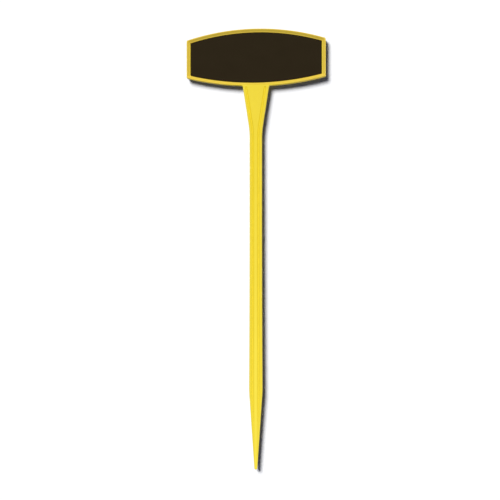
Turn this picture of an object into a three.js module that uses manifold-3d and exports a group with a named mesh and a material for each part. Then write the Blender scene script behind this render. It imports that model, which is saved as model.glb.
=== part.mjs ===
// Chalkboard plant label: a yellow moulded stake whose barrel-shaped head is a shallow tray,
// and a black writing panel stuck into that tray on a die-cut sheet of double-sided adhesive.
// Millimetres, +Z up along the stake, front towards -Y, origin on the stem at the soil line.
import * as THREE from "three";
import { mergeVertices } from "three/addons/utils/BufferGeometryUtils.js";
import Module from "manifold-3d";

// Head of the stake
const HEAD_WIDTH = 80;
const HEAD_END_HEIGHT = 21.7;
const CROWN_BOW = 6.1; // how far the top edge bows out past the straight ends
const BELLY_BOW = 5; // the same for the bottom edge
const HEAD_CORNER_RADIUS = 0.8;
const RIM_WIDTH = 1.9; // from the head's edge in to the panel's pocket
const RIM_CREST = 0.45; // the level part of that width, before it slopes down to the panel
const RIM_PROUD = 1; // height of the crest above the writing face
const TRAY_CORNER_RADIUS = 0.5;
const WALL = 1.5; // floor of the tray, and plate of the neck

// Writing panel and the adhesive behind it
const PANEL_THICKNESS = 0.8;
const PANEL_GAP = 0.3; // all round, between the panel and the rim
const PANEL_EDGE_RADIUS = 0.15;
const ADHESIVE_THICKNESS = 0.2;
const ADHESIVE_MARGIN = 1.5; // how far the adhesive stays in from the panel's edge

// Neck, stem and spike, in order down from the head
const NECK_LENGTH = 25.9;
const NECK_FLARE = 8.1; // how much wider the neck is at the head than at the stem
const NECK_FILLET = 0.8; // where the neck runs into the head
const NECK_BLEND = 4; // half the length of the curve from the neck into the stem
const STEM_LENGTH = 149;
const WAIST_DROP = 40; // from the foot of the neck to the stem's narrowest place
const FOOT_FLARE = 0.6; // how much wider the stem is at the spike than at its waist
const SHOULDER_BLEND = 2.5; // half the length of the curve from the stem into the spike
const SPIKE_LENGTH = 45;
const TIP_RADIUS = 0.8;
const TIP_THICKNESS = 1.8;
const INSERTION_DEPTH = 60; // how much of the stake goes into the soil

// Ribs along the stem, front and back: two edge ribs and a middle rib, with two grooves between them
const EDGE_RIB_WIDTH = 1.2;
const GROOVE_WIDTH = 1.4;
const GROOVE_FLOOR = 0.3; // width left between the groove's two sloping sides
const GROOVE_DEPTH = 0.45;
const MIDDLE_RIB_WIDTH = 1.7;
const GROOVE_TOP_GAP = 0.3; // from the grooves up to the head

// Hollow in the back of the neck, where the middle rib widens into a plate
const HOLLOW_RIB_WIDTH = 1.2; // between the hollow and the groove beside it
const HOLLOW_TOP_GAP = 1.5; // from the hollow up to the head
const HOLLOW_POINT_BLEND = 8; // length of the curve round its lower point
const HOLLOW_CORNER_BLEND = 0.8;

const EDGE_RADIUS = 0.35;
const EDGE_STEPS = 2;
const CURVE_STEPS = 5;
const CUT_OVERSHOOT = 1; // how far a cutter stands out of the surface that it cuts

// Levels towards the viewer, from the middle of the stake's thickness
const TRAY_DEPTH = ADHESIVE_THICKNESS + PANEL_THICKNESS + RIM_PROUD;
const FRONT = (WALL + TRAY_DEPTH) / 2;
const BACK = -FRONT;
const TRAY_FLOOR = FRONT - TRAY_DEPTH;
const PANEL_FACE = FRONT - RIM_PROUD;

// Sizes that follow from those above
const CROWN_RADIUS = bowRadius(CROWN_BOW);
const BELLY_RADIUS = bowRadius(BELLY_BOW);
const WAIST_HALF = EDGE_RIB_WIDTH + GROOVE_WIDTH + MIDDLE_RIB_WIDTH / 2;
const FOOT_HALF = WAIST_HALF + FOOT_FLARE / 2;
const NECK_SLOPE = NECK_FLARE / 2 / NECK_LENGTH;

// Heights above the soil line
const TIP_Z = -INSERTION_DEPTH;
const SHOULDER_Z = TIP_Z + SPIKE_LENGTH;
const NECK_FOOT_Z = SHOULDER_Z + STEM_LENGTH;
const WAIST_Z = NECK_FOOT_Z - WAIST_DROP;
const BELLY_Z = NECK_FOOT_Z + NECK_LENGTH;
const HEAD_Z = BELLY_Z + BELLY_BOW + HEAD_END_HEIGHT / 2; // the middle of the straight ends
const CROWN_Z = HEAD_Z + HEAD_END_HEIGHT / 2 + CROWN_BOW;

// Radius of an edge that bows out past the head's straight ends
function bowRadius(bow) {
  return (HEAD_WIDTH ** 2 / 4 + bow ** 2) / (2 * bow);
}

const wasm = await Module();
wasm.setup();

// Outlines are drawn with x across, y up the stake and z towards the viewer: this stands them up.
const PLAN_TO_PART = new THREE.Matrix4().set(1, 0, 0, 0, 0, 0, -1, 0, 0, 1, 0, 0, 0, 0, 0, 1);

// A closed geometry as a solid that can be joined and cut
function solidOf(geometry) {
  const bare = geometry.clone();
  bare.deleteAttribute("normal");
  bare.deleteAttribute("uv");
  const merged = mergeVertices(bare);
  const vertProperties = merged.attributes.position.array;
  const triVerts = new Uint32Array(merged.index.array);
  return new wasm.Manifold(new wasm.Mesh({ numProp: 3, vertProperties, triVerts }));
}

// A named mesh of a solid that was drawn in plan
function meshOf(name, solid, material) {
  const { vertProperties, triVerts } = solid.getMesh();
  const shared = new THREE.BufferGeometry();
  shared.setAttribute("position", new THREE.BufferAttribute(vertProperties, 3));
  shared.setIndex(new THREE.BufferAttribute(triVerts, 1));
  const geometry = shared.toNonIndexed().applyMatrix4(PLAN_TO_PART);
  geometry.computeVertexNormals();
  const mesh = new THREE.Mesh(geometry, material);
  mesh.name = name;
  return mesh;
}

// A slab of a plan outline between two levels, with its edges rounded where a radius is given
function slab(outline, low, high, edgeRadius = 0) {
  const geometry = new THREE.ExtrudeGeometry(new THREE.Shape(outline), {
    depth: high - low - 2 * edgeRadius,
    bevelEnabled: edgeRadius > 0,
    bevelThickness: edgeRadius,
    bevelSize: edgeRadius,
    bevelOffset: -edgeRadius,
    bevelSegments: EDGE_STEPS,
  });
  return solidOf(geometry.translate(0, 0, low + edgeRadius));
}

// A slab that widens all round from its outline at the low level, by run for each unit of rise, and narrows
// again above the high level
function flaredSlab(outline, low, high, run) {
  const rise = high - low;
  const geometry = new THREE.ExtrudeGeometry(new THREE.Shape(outline), {
    depth: rise,
    bevelThickness: rise,
    bevelSize: rise * run,
    bevelSegments: 1,
  });
  return solidOf(geometry.translate(0, 0, high));
}

// Points seen in a mirror on the stake's centre line, in reverse order so that they run on from the others
function mirrored(points) {
  return points.map((point) => new THREE.Vector2(-point.x, point.y)).reverse();
}

// A closed outline from its right half, which starts and ends on the centre line
function bothSides(half) {
  return [...half, ...mirrored(half.slice(1, -1))];
}

// Adds the head's right edge, moved in by inset: along the belly, up the straight end and along the crown.
function addHeadEdge(path, middleZ, inset, cornerRadius, startAngle = -Math.PI / 2) {
  const bellyRadius = BELLY_RADIUS - inset;
  const crownRadius = CROWN_RADIUS - inset;
  const bellyCentre = middleZ - HEAD_Z + BELLY_Z + BELLY_RADIUS;
  const crownCentre = middleZ - HEAD_Z + CROWN_Z - CROWN_RADIUS;
  const cornerX = HEAD_WIDTH / 2 - inset - cornerRadius;
  const bellyRise = Math.sqrt((bellyRadius - cornerRadius) ** 2 - cornerX ** 2);
  const crownRise = Math.sqrt((crownRadius - cornerRadius) ** 2 - cornerX ** 2);
  const bellyTurn = Math.atan2(bellyRise, cornerX);
  const crownTurn = Math.atan2(crownRise, cornerX);
  path.absarc(0, bellyCentre, bellyRadius, startAngle, -bellyTurn);
  path.absarc(cornerX, bellyCentre - bellyRise, cornerRadius, -bellyTurn, 0);
  path.absarc(cornerX, crownCentre + crownRise, cornerRadius, 0, crownTurn);
  path.absarc(0, crownCentre, crownRadius, crownTurn, Math.PI / 2);
  return path;
}

// A barrel outline that lies inside the head's own by inset
function barrel(middleZ, inset, cornerRadius) {
  return bothSides(addHeadEdge(new THREE.Path(), middleZ, inset, cornerRadius).getPoints(CURVE_STEPS));
}

// Half the width of the neck and of the spike at a height
function neckHalf(z) {
  return WAIST_HALF + (z - NECK_FOOT_Z) * NECK_SLOPE;
}
function spikeHalf(z) {
  const share = (z - TIP_Z - TIP_RADIUS) / (SPIKE_LENGTH - TIP_RADIUS);
  return TIP_RADIUS + (FOOT_HALF - TIP_RADIUS) * share;
}

// The stem's right edge, moved in by inset, from a height on the spike up to one on the neck.
// On the spike the inset narrows with the width, so that ribs and grooves run together towards the tip.
function stemEdge(inset, bottomZ, topZ) {
  const spikeX = (z) => (spikeHalf(z) * (FOOT_HALF - inset)) / FOOT_HALF;
  const waistX = WAIST_HALF - inset;
  const spikeTop = SHOULDER_Z - SHOULDER_BLEND;
  const stemFoot = SHOULDER_Z + SHOULDER_BLEND;
  const stemFootX = waistX + (FOOT_FLARE / 2) * ((WAIST_Z - stemFoot) / (WAIST_Z - SHOULDER_Z)) ** 2;
  const stemTop = NECK_FOOT_Z - NECK_BLEND;
  const neckFoot = NECK_FOOT_Z + NECK_BLEND;
  const edge = new THREE.Path();
  edge.moveTo(spikeX(bottomZ), bottomZ);
  edge.lineTo(spikeX(spikeTop), spikeTop);
  edge.quadraticCurveTo(FOOT_HALF - inset, SHOULDER_Z, stemFootX, stemFoot);
  edge.quadraticCurveTo(waistX, (stemFoot + WAIST_Z) / 2, waistX, WAIST_Z);
  edge.lineTo(waistX, stemTop);
  edge.quadraticCurveTo(waistX, NECK_FOOT_Z, neckHalf(neckFoot) - inset, neckFoot);
  edge.lineTo(neckHalf(topZ) - inset, topZ);
  return edge;
}

// The stake's whole outline: the round tip, the spike, the stem and the neck, then a fillet into the head.
// The fillet's centre lies its own radius outside both the neck's straight edge and the belly's arc.
function stakeOutline() {
  const along = new THREE.Vector2(NECK_SLOPE, 1).normalize();
  const outward = new THREE.Vector2(along.y, -along.x);
  const bellyCentre = new THREE.Vector2(0, BELLY_Z + BELLY_RADIUS);
  const centre = new THREE.Vector2(neckHalf(BELLY_Z), BELLY_Z).addScaledVector(outward, NECK_FILLET);
  const reach = bellyCentre.clone().sub(centre);
  const ahead = reach.dot(along);
  const spare = ahead ** 2 - reach.lengthSq() + (BELLY_RADIUS + NECK_FILLET) ** 2;
  centre.addScaledVector(along, ahead - Math.sqrt(spare));
  const neckEnd = centre.clone().addScaledVector(outward, -NECK_FILLET);
  const neckAngle = outward.angle() - Math.PI;
  const bellyAngle = bellyCentre.sub(centre).angle();

  const tip = new THREE.Path().absarc(0, TIP_Z + TIP_RADIUS, TIP_RADIUS, -Math.PI / 2, 0);
  const edge = stemEdge(0, TIP_Z + TIP_RADIUS, neckEnd.y);
  edge.absarc(centre.x, centre.y, NECK_FILLET, neckAngle, bellyAngle, true);
  addHeadEdge(edge, HEAD_Z, 0, HEAD_CORNER_RADIUS, bellyAngle - Math.PI);
  return bothSides([...tip.getPoints(CURVE_STEPS), ...edge.getPoints(CURVE_STEPS)]);
}

// The hollow of the front's right-hand groove, between the edge rib and the middle rib. Its floor keeps its level
// right down to the tip, so the groove runs out where the spike thins.
function grooveHollow() {
  const side = (GROOVE_WIDTH - GROOVE_FLOOR) / 2;
  const bottomZ = TIP_Z + TIP_RADIUS;
  const topZ = BELLY_Z - GROOVE_TOP_GAP - side;
  const outer = stemEdge(EDGE_RIB_WIDTH + side, bottomZ, topZ).getPoints(CURVE_STEPS);
  const inner = stemEdge(EDGE_RIB_WIDTH + side + GROOVE_FLOOR, bottomZ, topZ).getPoints(CURVE_STEPS);
  const floor = [...outer, ...inner.reverse()];
  return flaredSlab(floor, FRONT - GROOVE_DEPTH, FRONT + CUT_OVERSHOOT, side / GROOVE_DEPTH);
}

// The outline of the hollow in the back of the neck: a triangle that stands on its rounded point
function hollowOutline() {
  const rim = EDGE_RIB_WIDTH + GROOVE_WIDTH + HOLLOW_RIB_WIDTH;
  const pointZ = NECK_FOOT_Z + (rim - WAIST_HALF) / NECK_SLOPE;
  const sideX = (z) => (z - pointZ) * NECK_SLOPE;
  const sideFoot = pointZ + HOLLOW_POINT_BLEND;
  const topZ = BELLY_Z - HOLLOW_TOP_GAP;
  const sideTop = topZ - HOLLOW_CORNER_BLEND;
  const edge = new THREE.Path();
  edge.moveTo(0, (pointZ + sideFoot) / 2);
  edge.quadraticCurveTo(sideX(sideFoot) / 2, (pointZ + sideFoot) / 2, sideX(sideFoot), sideFoot);
  edge.lineTo(sideX(sideTop), sideTop);
  edge.quadraticCurveTo(sideX(topZ), topZ, sideX(topZ) - HOLLOW_CORNER_BLEND, topZ);
  edge.lineTo(0, topZ);
  return bothSides(edge.getPoints(CURVE_STEPS));
}

// The stake's side view, as wide as the head: it thins evenly from the shoulder to the tip.
// The taper runs on upwards until it stands out of the stake's faces, so that no edge lies on them.
function sideView() {
  const thinning = (FRONT - TIP_THICKNESS / 2) / SPIKE_LENGTH;
  const low = TIP_Z - CUT_OVERSHOOT;
  const taperTop = SHOULDER_Z + CUT_OVERSHOOT / thinning;
  const high = CROWN_Z + CUT_OVERSHOOT;
  const highHalf = FRONT + CUT_OVERSHOOT;
  const lowHalf = highHalf - (taperTop - low) * thinning;
  const profile = new THREE.Shape();
  profile.moveTo(lowHalf, low);
  profile.lineTo(highHalf, taperTop);
  profile.lineTo(highHalf, high);
  profile.lineTo(-highHalf, high);
  profile.lineTo(-highHalf, taperTop);
  profile.lineTo(-lowHalf, low);
  const width = HEAD_WIDTH + 2 * CUT_OVERSHOOT;
  const geometry = new THREE.ExtrudeGeometry(profile, { depth: width, bevelEnabled: false });
  return solidOf(geometry.translate(0, 0, -width / 2).rotateY(Math.PI / 2));
}

// The hollow of the tray: an upright pocket for the panel, and above it the slope up to the rim's crest
function trayHollow() {
  const outline = barrel(HEAD_Z, RIM_WIDTH, TRAY_CORNER_RADIUS);
  const pocket = slab(outline, TRAY_FLOOR, PANEL_FACE);
  const slope = (RIM_WIDTH - RIM_CREST) / RIM_PROUD;
  return pocket.add(flaredSlab(outline, PANEL_FACE, FRONT + CUT_OVERSHOOT, slope));
}

// Stake: one moulding, with the tray sunk into the front of its head and the ribs left between its grooves
function makeStake() {
  const cutters = [trayHollow(), slab(hollowOutline(), BACK - CUT_OVERSHOOT, FRONT - WALL)];
  for (const groove of [grooveHollow(), grooveHollow().mirror([1, 0, 0])]) {
    cutters.push(groove, groove.mirror([0, 0, 1]));
  }
  const blank = slab(stakeOutline(), BACK, FRONT, EDGE_RADIUS).intersect(sideView());
  const yellowPlastic = new THREE.MeshStandardMaterial({ color: 0xf1d544, roughness: 0.42, metalness: 0 });
  return meshOf("stake", cutters.reduce((solid, cutter) => solid.subtract(cutter), blank), yellowPlastic);
}

// Adhesive sheet: stuck to the tray floor, and kept in from the panel's edge so that none squeezes out
function makeAdhesiveSheet() {
  const outline = barrel(0, RIM_WIDTH + PANEL_GAP + ADHESIVE_MARGIN, TRAY_CORNER_RADIUS);
  const adhesive = new THREE.MeshStandardMaterial({ color: 0xe9e4d6, roughness: 0.6, metalness: 0 });
  return meshOf("adhesive_sheet", slab(outline, 0, ADHESIVE_THICKNESS), adhesive);
}

// Writing panel: a thin rigid board with a matt black face, laid on the adhesive
function makePanel() {
  const outline = barrel(0, RIM_WIDTH + PANEL_GAP, TRAY_CORNER_RADIUS);
  const chalkboard = new THREE.MeshStandardMaterial({ color: 0x2c251a, roughness: 0.9, metalness: 0 });
  const panel = meshOf("chalkboard_panel", slab(outline, 0, PANEL_THICKNESS, PANEL_EDGE_RADIUS), chalkboard);
  panel.position.y = -ADHESIVE_THICKNESS;
  return panel;
}

// What lies in the tray is placed from the middle of the tray's floor
const tray = new THREE.Group();
tray.position.set(0, -TRAY_FLOOR, HEAD_Z);
tray.add(makeAdhesiveSheet(), makePanel());

const label = new THREE.Group();
label.add(makeStake(), tray);

export default label;
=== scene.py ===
import math

import bmesh
import bpy
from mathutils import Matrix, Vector


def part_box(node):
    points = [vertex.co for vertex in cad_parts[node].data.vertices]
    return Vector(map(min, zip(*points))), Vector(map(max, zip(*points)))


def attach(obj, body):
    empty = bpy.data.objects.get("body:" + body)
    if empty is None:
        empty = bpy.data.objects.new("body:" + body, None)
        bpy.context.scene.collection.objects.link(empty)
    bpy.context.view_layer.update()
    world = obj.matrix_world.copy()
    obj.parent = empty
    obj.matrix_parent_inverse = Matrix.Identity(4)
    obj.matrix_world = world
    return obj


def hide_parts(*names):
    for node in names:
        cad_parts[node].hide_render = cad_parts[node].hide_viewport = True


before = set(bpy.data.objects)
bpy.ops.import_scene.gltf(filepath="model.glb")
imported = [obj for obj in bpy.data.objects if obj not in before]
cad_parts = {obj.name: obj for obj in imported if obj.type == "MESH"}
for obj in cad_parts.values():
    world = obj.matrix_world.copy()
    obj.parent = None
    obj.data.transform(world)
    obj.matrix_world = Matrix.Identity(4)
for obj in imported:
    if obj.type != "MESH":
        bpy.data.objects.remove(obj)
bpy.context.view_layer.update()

scene = bpy.context.scene

# Stake
# One injection moulding in yellow plastic: the head, a tray whose raised rim slopes in to the panel, then
# the neck, the stem with its grooves front and back, and the spike. Its mould is cut from flat outlines, so
# it is drawn as outlines with a rounded wall on each, and flats that close what the walls leave open.
mm = 0.001

stake_low, stake_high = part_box("stake")
adhesive_low, adhesive_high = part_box("adhesive_sheet")
panel_low, panel_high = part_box("chalkboard_panel")

# Levels count towards the viewer from the middle of the thickness, and heights up from the soil line
front_level = -stake_low.y
back_level = -stake_high.y
ledge_drop = 0.05 * mm
ledge_level = -panel_low.y - ledge_drop
tray_floor_level = -adhesive_high.y
thickness = front_level - back_level
plate_thickness = tray_floor_level - back_level
edge_radius = 0.35 * mm
parting_ridge = 0.02 * mm

head_width = stake_high.x - stake_low.x
head_corner_radius = 0.8 * mm
crown_height = stake_high.z
crown_bow = 6.1 * mm
belly_height = panel_low.z - (crown_height - panel_high.z)
belly_bow = 5 * mm
head_middle = (belly_height + belly_bow + crown_height - crown_bow) / 2
rim_width = 1.9 * mm
rim_crest = 0.45 * mm
rim_lip = 0.15 * mm
ledge_width = 0.25 * mm
ledge_round = 0.1 * mm
tray_corner_radius = 0.5 * mm
tray_foot = 0.2 * mm

edge_rib_width = 1.2 * mm
groove_width = 1.4 * mm
middle_rib_width = 1.7 * mm
waist_half = edge_rib_width + groove_width + middle_rib_width / 2
neck_length = 25.9 * mm
neck_flare = 8.1 * mm
neck_fillet = 0.8 * mm
neck_blend = 4 * mm
neck_foot = belly_height - neck_length
neck_slope = neck_flare / 2 / neck_length
waist_drop = 40 * mm
waist_height = neck_foot - waist_drop
foot_flare = 0.6 * mm
foot_half = waist_half + foot_flare / 2
tip_height = stake_low.z
tip_radius = 0.8 * mm
tip_thickness = 1.8 * mm
spike_length = 45 * mm
shoulder_height = tip_height + spike_length
shoulder_blend = 2.5 * mm

groove_depth = 0.45 * mm
groove_steep = math.radians(38)
groove_lip = 0.1 * mm
groove_top_gap = 0.3 * mm
groove_end_share = 0.25

hollow_level = front_level - plate_thickness
hollow_rib_width = 1.2 * mm
hollow_top_gap = 1.5 * mm
hollow_point_blend = 8 * mm
hollow_corner_blend = 0.8 * mm
hollow_round = 0.15 * mm

pin_mark_count = 4
pin_mark_spacing = 18 * mm
pin_mark_radius = 2.2 * mm
pin_mark_depth = 0.12 * mm
pin_mark_round = 0.05 * mm

# Into how many steps each stretch of an outline and the rounding of a wall are divided
bow_steps = 24
head_end_steps = 6
corner_steps = 8
spike_steps = 40
flare_steps = 50
stem_steps = 18
neck_bend_steps = 10
neck_steps = 20
hollow_bend_steps = 6
hollow_side_steps = 14
hollow_top_steps = 2
pin_mark_steps = 40
round_steps = 6

# Points closer than the first are one, and edges closer than the second to a flat's level belong to it
weld_distance = 0.001 * mm
level_tolerance = 0.01 * mm


def arc(centre, radius, start, end, steps):
    """Points round a circle in the plan, from one angle to another."""
    angles = (start + (end - start) * i / steps for i in range(steps + 1))
    return [Vector((centre[0] + radius * math.cos(a), centre[1] + radius * math.sin(a))) for a in angles]


def line(start, end, steps):
    """Points along a straight stretch of the plan."""
    start, end = Vector(start), Vector(end)
    return [start.lerp(end, i / steps) for i in range(steps + 1)]


def bend(start, control, end, steps):
    """Points along a parabola that leaves its start and meets its end towards the control point."""
    start, control, end = Vector(start), Vector(control), Vector(end)
    shares = (i / steps for i in range(steps + 1))
    return [start.lerp(control, t).lerp(control.lerp(end, t), t) for t in shares]


def run_together(*stretches):
    """One row of points from stretches that each start where the last one ended."""
    points = list(stretches[0])
    for stretch in stretches[1:]:
        points += stretch[1:]
    return points


def both_sides(half):
    """A closed outline, anticlockwise, from its right half, which starts and ends on the centre line."""
    return half + [Vector((-x, z)) for x, z in reversed(half[1:-1])]


def bow_radius(bow):
    """The radius of an edge that bows out by that much past the head's straight ends."""
    return (head_width**2 / 4 + bow**2) / (2 * bow)


def corner_place(bow, inset, corner_radius):
    """How far the head's corner lies above or below the middle of a bow's circle, and at what angle."""
    corner_x = head_width / 2 - inset - corner_radius
    rise = math.sqrt((bow_radius(bow) - inset - corner_radius) ** 2 - corner_x**2)
    return rise, math.atan2(rise, corner_x)


def head_edge(inset, corner_radius, start_angle=-math.pi / 2):
    """The head's right edge, moved in by the inset: the belly, the straight end and the crown."""
    corner_x = head_width / 2 - inset - corner_radius
    belly_radius, crown_radius = bow_radius(belly_bow), bow_radius(crown_bow)
    belly_middle, crown_middle = belly_height + belly_radius, crown_height - crown_radius
    belly_rise, belly_turn = corner_place(belly_bow, inset, corner_radius)
    crown_rise, crown_turn = corner_place(crown_bow, inset, corner_radius)
    low_corner = arc((corner_x, belly_middle - belly_rise), corner_radius, -belly_turn, 0, corner_steps)
    high_corner = arc((corner_x, crown_middle + crown_rise), corner_radius, 0, crown_turn, corner_steps)
    return run_together(
        arc((0, belly_middle), belly_radius - inset, start_angle, -belly_turn, bow_steps),
        low_corner,
        line(low_corner[-1], high_corner[0], head_end_steps),
        high_corner,
        arc((0, crown_middle), crown_radius - inset, crown_turn, math.pi / 2, bow_steps),
    )


def neck_half(height):
    """Half the neck's width at a height."""
    return waist_half + (height - neck_foot) * neck_slope


def spike_half(height):
    """Half the spike's width at a height."""
    share = (height - tip_height - tip_radius) / (spike_length - tip_radius)
    return tip_radius + (foot_half - tip_radius) * share


def stem_edge(inset, bottom, top):
    """The stem's right edge, moved in by the inset, from a height on the spike up to one on the neck."""

    def on_spike(height):
        return Vector((spike_half(height) * (foot_half - inset) / foot_half, height))

    def on_neck(height):
        return Vector((neck_half(height) - inset, height))

    waist_x = waist_half - inset
    spike_top = on_spike(shoulder_height - shoulder_blend)
    shoulder = (foot_half - inset, shoulder_height)
    foot_height = shoulder_height + shoulder_blend
    flare_left = (waist_height - foot_height) / (waist_height - shoulder_height)
    foot = (waist_x + foot_flare / 2 * flare_left**2, foot_height)
    waist = (waist_x, waist_height)
    stem_top = (waist_x, neck_foot - neck_blend)
    neck_start = on_neck(neck_foot + neck_blend)
    return run_together(
        line(on_spike(bottom), spike_top, spike_steps),
        bend(spike_top, shoulder, foot, corner_steps),
        bend(foot, (waist_x, (foot_height + waist_height) / 2), waist, flare_steps),
        line(waist, stem_top, stem_steps),
        bend(stem_top, (waist_x, neck_foot), neck_start, neck_bend_steps),
        line(neck_start, on_neck(top), neck_steps),
    )


def stake_outline():
    """The stake's whole outline: the round tip, spike, stem and neck, then a fillet into the head."""
    along = Vector((neck_slope, 1)).normalized()
    outward = Vector((along.y, -along.x))
    belly_middle = Vector((0, belly_height + bow_radius(belly_bow)))

    # The fillet's centre is its own radius away from both the neck and the belly
    centre = Vector((neck_half(belly_height), belly_height)) + outward * neck_fillet
    reach = belly_middle - centre
    ahead = reach.dot(along)
    spare = ahead**2 - reach.length_squared + (bow_radius(belly_bow) + neck_fillet) ** 2
    centre += along * (ahead - math.sqrt(spare))
    neck_end = centre - outward * neck_fillet
    neck_angle = math.atan2(-outward.y, -outward.x)
    belly_angle = math.atan2(belly_middle.y - centre.y, belly_middle.x - centre.x)
    return both_sides(
        run_together(
            arc((0, tip_height + tip_radius), tip_radius, -math.pi / 2, 0, corner_steps),
            stem_edge(0, tip_height + tip_radius, neck_end.y),
            arc(centre, neck_fillet, neck_angle, belly_angle, corner_steps),
            head_edge(0, head_corner_radius, belly_angle - math.pi),
        )
    )


def hollow_outline():
    """The hollow in the back of the neck: a triangle that stands on its rounded point."""
    margin = edge_rib_width + groove_width + hollow_rib_width
    point = neck_foot + (margin - waist_half) / neck_slope

    def on_side(height):
        return Vector(((height - point) * neck_slope, height))

    bottom = point + hollow_point_blend / 2
    top = belly_height - hollow_top_gap
    side_foot = on_side(point + hollow_point_blend)
    side_top = on_side(top - hollow_corner_blend)
    corner = on_side(top)
    top_end = (corner.x - hollow_corner_blend, top)
    return both_sides(
        run_together(
            bend((0, bottom), (side_foot.x / 2, bottom), side_foot, hollow_bend_steps),
            line(side_foot, side_top, hollow_side_steps),
            bend(side_top, corner, top_end, hollow_bend_steps),
            line(top_end, (0, top), hollow_top_steps),
        )
    )


def right_hand(points):
    """The way to the right at each point of a closed outline.

    It is longer at a corner, so that the stretches on both sides of the corner move out evenly.
    """
    ways = []
    for before, point, after in zip(points[-1:] + points[:-1], points, points[1:] + points[:1]):
        arriving = (point - before).normalized()
        leaving = (after - point).normalized()
        both = arriving + leaving
        ways.append(Vector((both.y, -both.x)) / (1 + arriving.dot(leaving)))
    return ways


def wall(points, top, bottom, lip, foot, steep=math.pi / 2, ridge=0, ways=None):
    """A wall that falls from one level to another on the right of an outline.

    A hollow's outline runs clockwise, so that its wall falls inwards. The wall falls at the steep angle.
    The lip is the radius that rounds it into the flat it falls from, and the foot the one into the flat
    below, out to the right, or back under the outline where it is negative. Each number is one for all
    points or a list of one each.
    """
    rows = {"top": top, "bottom": bottom, "lip": lip, "foot": foot, "steep": steep, "ridge": ridge}
    for name, value in rows.items():
        rows[name] = value if isinstance(value, list) else [value] * len(points)
    shaping = [rows[name] for name in ("top", "bottom", "lip", "foot", "steep")]
    rows.update(lip_fall=[], lip_start=[], foot_fall=[], foot_end=[])
    for high, low, lip_radius, foot_radius, angle in zip(*shaping):
        fall = math.copysign(1, low - high)
        rows["lip_fall"].append(fall * lip_radius)
        rows["lip_start"].append(-lip_radius * math.tan(angle / 2))
        rows["foot_fall"].append(fall * abs(foot_radius))
        rows["foot_end"].append(abs(low - high) / math.tan(angle) + foot_radius * math.tan(angle / 2))
    return {"points": points, "ways": ways or right_hand(points), "numbers": rows}


def thickness_left(height):
    """The share of the stake's thickness left at a height, where the spike thins towards its tip."""
    below = max(shoulder_height - height, 0) / spike_length
    return 1 - (1 - tip_thickness / thickness) * below


def groove_wall(side, face):
    """One groove of the stem, right or left by a side of 1 or -1, in the front or the back face.

    Its sides slope to a round bottom that keeps its level, so it gets narrower and runs out where the spike
    thins. It is drawn as deep as it has to be before the spike is thinned.
    """
    end_thickness_left = 1 - (1 - groove_end_share) * groove_depth / front_level
    low = shoulder_height - spike_length * (1 - end_thickness_left) / (1 - tip_thickness / thickness)
    high = belly_height - groove_top_gap - groove_width / 2
    spine = stem_edge(edge_rib_width + groove_width / 2, low, high)
    shares = [1 - (1 - thickness_left(z)) * front_level / groove_depth for x, z in spine]
    reaches = [Vector((groove_width / 2 * share, 0)) for share in shares]
    outer = [middle + reach for middle, reach in zip(spine, reaches)]
    inner = [middle - reach for middle, reach in zip(spine, reaches)]
    top_end = arc(spine[-1], reaches[-1].x, 0, math.pi, corner_steps)[1:-1]
    low_end = arc(spine[0], reaches[0].x, math.pi, 2 * math.pi, corner_steps)[1:-1]
    points = outer + top_end + inner[::-1] + low_end
    middles = spine + [spine[-1]] * len(top_end) + spine[::-1] + [spine[0]] * len(low_end)

    lips, feet, bottoms, steeps, ways = [], [], [], [], []
    for point, middle in zip(points, middles):
        reach = (middle - point).length
        share = reach * 2 / groove_width
        depth = groove_depth * share / thickness_left(middle.y)
        steep = math.atan(math.tan(groove_steep) / thickness_left(middle.y))
        lips.append(groove_lip * share)
        feet.append((reach - depth / math.tan(steep)) / math.tan(steep / 2))
        bottoms.append(face - math.copysign(depth, face))
        steeps.append(steep)
        ways.append((middle - point) / reach)
    points = [Vector((x * side, z)) for x, z in points]
    ways = [Vector((x * side, z)) for x, z in ways]
    return wall(points, face, bottoms, lips, feet, steeps, ways=ways)


class Wire:
    """An output in a node tree. Arithmetic on it adds Math nodes, and any other node is added from it."""

    def __init__(self, tree, socket=None):
        self.tree = tree
        self.socket = socket

    def add(self, kind, settings=None, sockets=None, output=0):
        """A new node's output. Its settings go in first, then each socket's value, wire or wires."""
        node = self.tree.nodes.new(kind)
        for name, value in (settings or {}).items():
            setattr(node, name, value)
        for key, value in (sockets or {}).items():
            for one in value if isinstance(value, list) else [value]:
                if isinstance(one, Wire):
                    self.tree.links.new(one.socket, node.inputs[key])
                else:
                    node.inputs[key].default_value = one
        return Wire(self.tree, node.outputs[output]) if node.outputs else None

    def beside(self, output):
        """Another output of the same node."""
        return Wire(self.tree, self.socket.node.outputs[output])

    def maths(self, operation, *values):
        """A Math node on the values, which may be wires."""
        return self.add("ShaderNodeMath", {"operation": operation}, dict(enumerate(values)))

    def vectors(self, operation, *values):
        """A Vector Math node on the values, which may be wires."""
        return self.add("ShaderNodeVectorMath", {"operation": operation}, dict(enumerate(values)))

    def clamped(self):
        """This wire's number, held between 0 and 1."""
        return self.add("ShaderNodeClamp", {}, {"Value": self})

    def between(self, first, second):
        """The colour that lies as far from the first to the second as this wire says, from 0 to 1."""
        return self.add("ShaderNodeMix", {"data_type": "RGBA"}, {0: self, 6: first, 7: second}, 2)

    def noise(self, per_metre, detail=2.0):
        """Noise from 0 to 1 over the coordinates on this wire, with that many grains to the metre."""
        return self.add("ShaderNodeTexNoise", {}, {"Vector": self, "Scale": per_metre, "Detail": detail})

    def __add__(self, other):
        return self.maths("ADD", self, other)

    def __sub__(self, other):
        return self.maths("SUBTRACT", self, other)

    def __rsub__(self, other):
        return self.maths("SUBTRACT", other, self)

    def __mul__(self, other):
        return self.maths("MULTIPLY", self, other)

    def __truediv__(self, other):
        return self.maths("DIVIDE", self, other)

    __radd__ = __add__
    __rmul__ = __mul__


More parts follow.
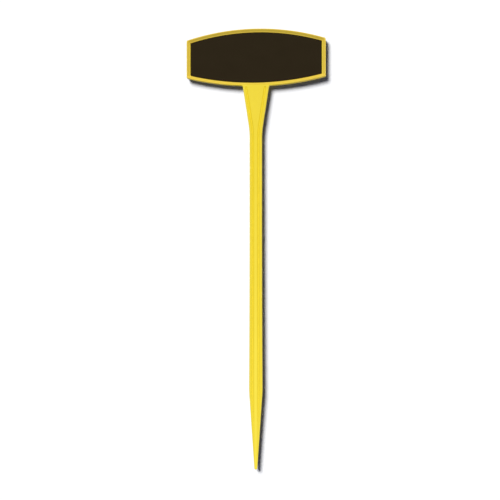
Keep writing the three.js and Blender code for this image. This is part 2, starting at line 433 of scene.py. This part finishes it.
def moulding_tree(name, flats):
    """A tree that puts rounded walls on bare outlines and closes the flats at the named levels."""
    tree = bpy.data.node_groups.new(name, "GeometryNodeTree")
    tree.interface.new_socket("Outlines", in_out="INPUT", socket_type="NodeSocketGeometry")
    for size in [*flats, "Thinning From", "Thinning Length", "Thinnest Share"]:
        tree.interface.new_socket(size, in_out="INPUT", socket_type="NodeSocketFloat")
    tree.interface.new_socket("Material", in_out="INPUT", socket_type="NodeSocketMaterial")
    tree.interface.new_socket("Moulding", in_out="OUTPUT", socket_type="NodeSocketGeometry")
    given = Wire(tree).add("NodeGroupInput")

    def carried(attribute, kind="FLOAT"):
        return given.add("GeometryNodeInputNamedAttribute", {"data_type": kind}, {"Name": attribute})

    top, bottom, steep = carried("top"), carried("bottom"), carried("steep")
    lip, lip_fall, lip_start = carried("lip"), carried("lip_fall"), carried("lip_start")
    foot, foot_fall, foot_end = carried("foot"), carried("foot_fall"), carried("foot_end")
    plan, way = carried("plan", "FLOAT_VECTOR"), carried("way", "FLOAT_VECTOR")

    # Each row of a wall is the outline again, moved out by one amount and set at one level
    lip_rows, foot_rows = [], []
    for i in range(round_steps + 1):
        turned = steep * (i / round_steps)
        sine, sunk = turned.maths("SINE", turned), 1 - turned.maths("COSINE", turned)
        lip_rows.append((lip_start + lip * sine, top + lip_fall * sunk))
        foot_rows.insert(0, (foot_end - foot * sine, bottom - foot_fall * sunk))
    above, below = lip_rows[-1], foot_rows[0]
    halfway = [(high + low) * 0.5 for high, low in zip(above, below)]
    rows = [*lip_rows, (halfway[0] + carried("ridge"), halfway[1]), *foot_rows]
    walls, newest = given, True
    for i, (out, level) in enumerate(rows):
        if i > 0:
            walls = given.add(
                "GeometryNodeExtrudeMesh",
                {"mode": "EDGES"},
                {"Mesh": walls, "Selection": newest, "Offset Scale": 0.0},
            )
            newest = walls.beside("Top")
        outward = given.add("ShaderNodeVectorMath", {"operation": "SCALE"}, {0: way, "Scale": out})
        raised = given.add("ShaderNodeCombineXYZ", {}, {"Z": level})
        place = plan.vectors("ADD", plan, plan.vectors("ADD", outward, raised))
        walls = given.add(
            "GeometryNodeSetPosition", {}, {"Geometry": walls, "Selection": newest, "Position": place}
        )

    # A groove's two walls meet at its bottom, and a flat fills what other open edges enclose at its level
    walls = given.add("GeometryNodeMergeByDistance", {}, {"Geometry": walls, "Distance": weld_distance})
    position = given.add("GeometryNodeInputPosition")
    sideways = given.add("ShaderNodeSeparateXYZ", {}, {"Vector": position})
    height, level = sideways.beside("Y"), sideways.beside("Z")
    faces_beside = given.add("GeometryNodeInputMeshEdgeNeighbors")
    open_edge = faces_beside.maths("COMPARE", faces_beside, 1, 0.1)
    sheets = [walls]
    for flat in flats:
        edge = open_edge * level.maths("COMPARE", level, given.beside(flat), level_tolerance)
        curve = given.add("GeometryNodeMeshToCurve", {}, {"Mesh": walls, "Selection": edge})
        sheet = given.add("GeometryNodeFillCurve", {"mode": "TRIANGLES"}, {"Curve": curve})
        lift = given.add("ShaderNodeCombineXYZ", {}, {"Z": given.beside(flat)})
        sheets.append(given.add("GeometryNodeTransform", {}, {"Geometry": sheet, "Translation": lift}))
    joined = given.add("GeometryNodeJoinGeometry", {}, {"Geometry": sheets})
    closed = given.add("GeometryNodeMergeByDistance", {}, {"Geometry": joined, "Distance": weld_distance})

    # The spike thins evenly towards its tip, and the plan is stood up with its front to -Y
    below = ((given.beside("Thinning From") - height) / given.beside("Thinning Length")).clamped()
    share = 1 - (1 - given.beside("Thinnest Share")) * below
    thinned = given.add("ShaderNodeCombineXYZ", {}, {"X": sideways, "Y": height, "Z": level * share})
    solid = given.add("GeometryNodeSetPosition", {}, {"Geometry": closed, "Position": thinned})
    solid = given.add("GeometryNodeTransform", {}, {"Geometry": solid, "Rotation": (math.pi / 2, 0, 0)})
    solid = given.add("GeometryNodeSetShadeSmooth", {}, {"Geometry": solid})
    solid = given.add("GeometryNodeRealizeInstances", {}, {"Geometry": solid})
    material = given.beside("Material")
    solid = given.add("GeometryNodeSetMaterial", {}, {"Geometry": solid, "Material": material})
    given.add("NodeGroupOutput", {}, {0: solid})
    return tree


def made_plain(piece):
    """Turns what the piece's modifiers make into its own mesh, and takes them off."""
    depsgraph = bpy.context.evaluated_depsgraph_get()
    piece.data = bpy.data.meshes.new_from_object(piece.evaluated_get(depsgraph), depsgraph=depsgraph)
    piece.modifiers.clear()


def moulded(name, walls, flats, material, thin_from=0.0, thin_length=1.0, thinnest=1.0):
    """A closed piece made by the moulding tree from its walls and the levels of its flats."""
    points, ways, edges = [], [], []
    for one in walls:
        first, count = len(points), len(one["points"])
        points += [(x, z, 0) for x, z in one["points"]]
        ways += [(x, z, 0) for x, z in one["ways"]]
        edges += [(first + i, first + (i + 1) % count) for i in range(count)]
    outlines = bpy.data.meshes.new(name)
    outlines.from_pydata(points, edges, [])
    keys = list(walls[0]["numbers"])
    for key in keys:
        values = [value for one in walls for value in one["numbers"][key]]
        outlines.attributes.new(key, "FLOAT", "POINT").data.foreach_set("value", values)
    for key, vectors in (("plan", points), ("way", ways)):
        numbers = [number for vector in vectors for number in vector]
        outlines.attributes.new(key, "FLOAT_VECTOR", "POINT").data.foreach_set("vector", numbers)

    piece = bpy.data.objects.new(name, outlines)
    scene.collection.objects.link(piece)
    tree = moulding_tree(name, flats)
    sizes = {
        **flats,
        "Thinning From": thin_from,
        "Thinning Length": thin_length,
        "Thinnest Share": thinnest,
        "Material": material,
    }
    moulding = piece.modifiers.new("moulding", "NODES")
    moulding.node_group = tree
    for socket in tree.interface.items_tree:
        if socket.name in sizes:
            moulding[socket.identifier] = sizes[socket.name]
    made_plain(piece)

    # A flat's fill may face either way, so all faces are turned outwards before the flats are shaded flat
    whole = bmesh.new()
    whole.from_mesh(piece.data)
    bmesh.ops.recalc_face_normals(whole, faces=whole.faces)
    whole.to_mesh(piece.data)
    whole.free()
    for key in ("plan", "way", *keys):
        piece.data.attributes.remove(piece.data.attributes[key])
    piece.modifiers.new("flat shading of the flats", "WEIGHTED_NORMAL")
    made_plain(piece)
    return piece


def new_material(name):
    """An empty material, and a wire with the object's own coordinates to start its nodes from."""
    material = bpy.data.materials.new(name)
    material.use_nodes = True
    material.node_tree.nodes.clear()
    return material, Wire(material.node_tree).add("ShaderNodeTexCoord", output="Object")


def finish_material(place, sockets):
    """Ends a material's nodes with a Principled shader, whose sockets are set so."""
    surface = place.add("ShaderNodeBsdfPrincipled", {}, sockets)
    place.add("ShaderNodeOutputMaterial", {}, {"Surface": surface})


deep_yellow = (0.765, 0.575, 0.018, 1)
light_yellow = (0.865, 0.69, 0.036, 1)
# Painted shade: a deeper, more orange yellow for the rim, whose slopes lie in shade
deep_rim_shade = (0.765, 0.535, 0.05, 1)
light_rim_shade = (0.865, 0.64, 0.085, 1)
# Painted highlight: a paler yellow for low down on the stem and along the middle rib's crest
highlight_yellow = (0.92, 0.745, 0.06, 1)
highlight_share_off_crest = 0.35
crest_half = middle_rib_width / 4
flow_stretch = (1, 1, 0.12)

plastic, place = new_material("yellow_plastic")
flow = place.vectors("MULTIPLY", place, flow_stretch).noise(per_metre=220)
mottle = place.noise(per_metre=420, detail=3)
grain = place.noise(per_metre=5000)
streaks = 0.6 * flow + 0.4 * mottle

# As in the photograph, the rim is painted a deeper, more orange yellow, a painted shade for its slopes in
# shade, and the stem is painted paler low down and palest along the middle rib, a painted highlight.
sideways = place.add("ShaderNodeSeparateXYZ", {}, {"Vector": place})
back, up = sideways.beside("Y"), sideways.beside("Z")
on_head = ((up - belly_height) / rim_width).clamped()
in_front = (back / -ledge_level).clamped()
low_down = ((neck_foot - up) / (neck_foot - shoulder_height)).clamped()
on_crest = (2 - sideways.maths("ABSOLUTE", sideways) / crest_half).clamped()
yellow = streaks.between(deep_yellow, light_yellow)
# Painted shade: the rim turns to the deeper, more orange yellow
painted_rim_shade = streaks.between(deep_rim_shade, light_rim_shade)
colour = (on_head * in_front).between(yellow, painted_rim_shade)
# Painted highlight: paler low down, and palest along the middle rib's crest
painted_highlight = low_down * (highlight_share_off_crest + (1 - highlight_share_off_crest) * on_crest)
skin = {"Strength": 0.12, "Distance": 0.05 * mm, "Height": 0.5 * mottle + 0.5 * grain}
finish_material(
    place,
    {
        "Base Color": painted_highlight.between(colour, highlight_yellow),
        "Roughness": 0.46 + 0.08 * mottle + 0.06 * grain,
        "Specular IOR Level": 0.12,
        "Normal": place.add("ShaderNodeBump", {}, skin),
    },
)

slope_run = rim_width - ledge_width - rim_crest
slope_angle = math.atan2(front_level - ledge_level, slope_run)
crest_outline = both_sides(head_edge(rim_crest, tray_corner_radius + slope_run))
pocket_outline = both_sides(head_edge(rim_width, tray_corner_radius))

pin_mark_level = back_level + pin_mark_depth
pin_marks = []
for i in range(pin_mark_count):
    pin_x = (i - (pin_mark_count - 1) / 2) * pin_mark_spacing
    circle = arc((pin_x, head_middle), pin_mark_radius, 0, -2 * math.pi, pin_mark_steps)[:-1]
    pin_marks.append(wall(circle, back_level, pin_mark_level, pin_mark_round, pin_mark_round))

stake = moulded(
    "moulded_stake",
    [
        wall(stake_outline(), front_level, back_level, edge_radius, -edge_radius, ridge=parting_ridge),
        wall(crest_outline[::-1], front_level, ledge_level, rim_lip, ledge_round, slope_angle),
        wall(pocket_outline[::-1], ledge_level, tray_floor_level, ledge_round, tray_foot),
        wall(hollow_outline()[::-1], back_level, hollow_level, hollow_round, hollow_round),
        *[groove_wall(side, face) for side in (1, -1) for face in (front_level, back_level)],
        *pin_marks,
    ],
    {
        "Front Level": front_level,
        "Back Level": back_level,
        "Ledge Level": ledge_level,
        "Tray Floor Level": tray_floor_level,
        "Hollow Level": hollow_level,
        "Pin Mark Level": pin_mark_level,
    },
    plastic,
    thin_from=shoulder_height,
    thin_length=spike_length,
    thinnest=tip_thickness / thickness,
)
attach(stake, "root")
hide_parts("stake")

# Adhesive sheet
# A die-cut sheet of double-sided adhesive on a cream paper carrier, pressed onto the tray floor before the
# panel goes in. It stays in from the panel's edge, so none of it shows.
panel_gap = 0.3 * mm
adhesive_margin = 1.5 * mm
adhesive_round = 0.03 * mm
dark_cream = (0.74, 0.70, 0.60, 1)
light_cream = (0.86, 0.83, 0.75, 1)
fibre_stretch = (1, 1, 0.3)

adhesive, place = new_material("adhesive")
fibres = place.vectors("MULTIPLY", place, fibre_stretch).noise(per_metre=1500, detail=4)
finish_material(
    place,
    {
        "Base Color": fibres.between(dark_cream, light_cream),
        "Roughness": 0.5 + 0.2 * fibres,
        "Specular IOR Level": 0.4,
    },
)

adhesive_outline = both_sides(head_edge(rim_width + panel_gap + adhesive_margin, tray_corner_radius))
adhesive_front, adhesive_back = -adhesive_low.y, -adhesive_high.y
adhesive_film = moulded(
    "adhesive_film",
    [wall(adhesive_outline, adhesive_front, adhesive_back, adhesive_round, -adhesive_round)],
    {"Front Level": adhesive_front, "Back Level": adhesive_back},
    adhesive,
)
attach(adhesive_film, "root")
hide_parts("adhesive_sheet")

# Chalkboard panel
# A thin rigid board, die-cut to the tray and sprayed with matt blackboard paint, whose fine grit takes the
# chalk. It is stuck down on the adhesive with an even gap to the rim, and its face lies a little below the
# rim's crest.
panel_edge_radius = 0.15 * mm
dark_paint = (0.0120, 0.0075, 0.0015, 1)
light_paint = (0.0230, 0.0155, 0.0060, 1)
cloud_stretch = (1, 1, 1.8)

chalkboard, place = new_material("chalkboard")
grit = place.noise(per_metre=6500, detail=3)
cloud = place.vectors("MULTIPLY", place, cloud_stretch).noise(per_metre=90, detail=4)
tooth = {"Strength": 0.3, "Distance": 0.02 * mm, "Height": grit}
finish_material(
    place,
    {
        "Base Color": (0.6 * grit + 0.4 * cloud).between(dark_paint, light_paint),
        "Roughness": 0.84 + 0.12 * grit,
        "Specular IOR Level": 0.12,
        "Normal": place.add("ShaderNodeBump", {}, tooth),
    },
)

panel_outline = both_sides(head_edge(rim_width + panel_gap, tray_corner_radius))
panel_front, panel_back = -panel_low.y, -panel_high.y
panel = moulded(
    "panel_board",
    [wall(panel_outline, panel_front, panel_back, panel_edge_radius, -panel_edge_radius)],
    {"Front Level": panel_front, "Back Level": panel_back},
    chalkboard,
)
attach(panel, "root")
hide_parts("chalkboard_panel")

# Backdrop
# A plain white sheet close behind the label, which takes its shadow. It leans back towards the bottom,
# where the spike is thin, so that the shadow keeps its width. Only the camera sees it, and only from the
# front, so that it hides nothing in other views and keeps no light from the label's back.
backdrop_gap = 1.3 * mm
backdrop_lean = 0.002
backdrop_reach = 900 * mm

paper, place = new_material("backdrop_paper")
seen = place.add("ShaderNodeLightPath", output="Is Camera Ray")
behind = place.add("ShaderNodeNewGeometry", output="Backfacing")
clear = place.add("ShaderNodeBsdfTransparent")
white = place.add("ShaderNodeBsdfDiffuse", {}, {"Color": (1, 1, 1, 1)})
surface = place.add("ShaderNodeMixShader", {}, {0: seen * (1 - behind), 1: clear, 2: white})
place.add("ShaderNodeOutputMaterial", {}, {"Surface": surface})

corners = []
for side, end in ((-1, -1), (1, -1), (1, 1), (-1, 1)):
    height = end * backdrop_reach
    depth = stake_high.y + backdrop_gap + backdrop_lean * (crown_height - height)
    corners.append((side * backdrop_reach, depth, height))
sheet = bpy.data.meshes.new("backdrop")
sheet.from_pydata(corners, [], [(0, 1, 2, 3)])
sheet.materials.append(paper)
backdrop = bpy.data.objects.new("backdrop", sheet)
scene.collection.objects.link(backdrop)

# Light
# The label is lit from the front and above, and the backdrop by its own lamp from the upper left, so that
# the shadow falls to the lower right. The lamps behind and at the side light what only other views show.
# The surroundings are dim, but plain white where the camera or a gloss sees them.
dim_sky = (0.75, 0.86, 1.45, 1)
dim_strength = 0.05
all_bounces = 1024


def add_lamp(name, energy, spread, towards, lit, bounces=all_bounces):
    """A distant lamp that shines that way on the lit pieces, with soft shadows by its spread in degrees."""
    lamp = bpy.data.objects.new(name, bpy.data.lights.new(name, "SUN"))
    scene.collection.objects.link(lamp)
    lamp.data.energy = energy
    lamp.data.angle = math.radians(spread)
    lamp.data.cycles.max_bounces = bounces
    lamp.rotation_euler = Vector(towards).to_track_quat("-Z", "Y").to_euler()
    lamp.light_linking.receiver_collection = bpy.data.collections.new(name)
    for piece in lit:
        lamp.light_linking.receiver_collection.objects.link(piece)


label = [stake, adhesive_film, panel]
add_lamp("front_lamp", energy=3.36, spread=17, towards=(0, 1, -0.33), lit=label)
add_lamp("shadow_lamp", energy=4, spread=27, towards=(0.46, 1, -0.62), lit=[backdrop])
add_lamp("back_lamp", energy=3, spread=20, towards=(0.6, -1, -0.2), lit=label, bounces=0)
add_lamp("side_lamp", energy=2.2, spread=30, towards=(-1, -0.32, 0.5), lit=label, bounces=0)

world = bpy.data.worlds.new("surroundings")
scene.world = world
world.use_nodes = True
world.node_tree.nodes.clear()
by_camera = Wire(world.node_tree).add("ShaderNodeLightPath", output="Is Camera Ray")
seen = by_camera + by_camera.beside("Is Glossy Ray") + by_camera.beside("Is Transmission Ray")
dim = seen.add("ShaderNodeBackground", {}, {"Color": dim_sky, "Strength": dim_strength})
white = seen.add("ShaderNodeBackground", {}, {"Color": (1, 1, 1, 1), "Strength": 1.0})
surface = seen.add("ShaderNodeMixShader", {}, {0: seen, 1: dim, 2: white})
seen.add("ShaderNodeOutputWorld", {}, {"Surface": surface})

# Camera
# A long lens held level, a few degrees to the right of straight ahead, as the photograph was taken.
camera_distance = 600 * mm
camera_side_angle = math.radians(6)
camera_lens = 75.2
camera_near_limit = 10 * mm
aim = Vector((-3.4 * mm, 0, 65.9 * mm))

camera = bpy.data.objects.new("camera", bpy.data.cameras.new("camera"))
scene.collection.objects.link(camera)
view_from = Vector((math.sin(camera_side_angle), -math.cos(camera_side_angle), 0))
camera.location = aim + camera_distance * view_from
camera.rotation_euler = (-view_from).to_track_quat("-Z", "Y").to_euler()
camera.data.lens = camera_lens
camera.data.clip_start = camera_near_limit
scene.camera = camera
scene.view_settings.view_transform = "Standard"
